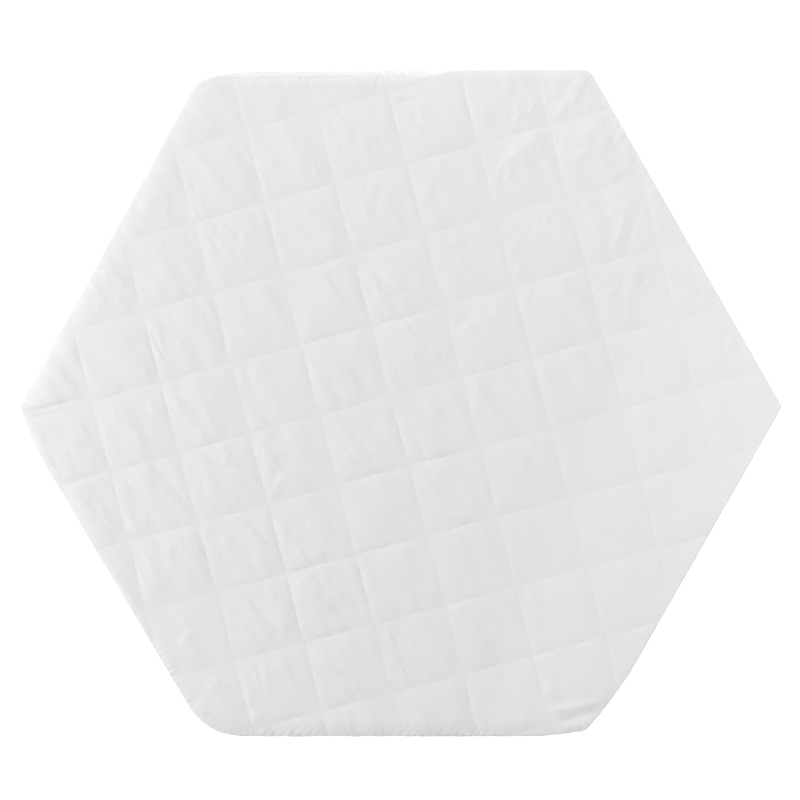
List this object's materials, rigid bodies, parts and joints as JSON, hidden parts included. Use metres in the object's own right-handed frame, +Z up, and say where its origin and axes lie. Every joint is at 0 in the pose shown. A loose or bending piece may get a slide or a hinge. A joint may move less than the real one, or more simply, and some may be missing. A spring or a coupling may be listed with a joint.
{
  "type": "hexagonal playpen mattress",
  "caption": "Thin six-sided mattress with a white top quilted in tilted squares and a plain side band, laid flat as the floor of a playpen.",
  "frame": {"origin": "on the base plane, under the middle of the outline's box", "axes": "+X across the corners, towards the picture's right; +Y across the flat sides, towards the picture's top; +Z up out of the quilted face"},
  "size_m": [1.19, 1.0442, 0.0519],
  "materials": {
    "quilted_cloth": "soft matt white cloth, quilted in squares",
    "band_cloth": "soft matt white cloth, plain"
  },
  "bodies": {
    "root": {"quilted_pad": "quilted_cloth", "side_band": "band_cloth"}
  },
  "joints": []
}
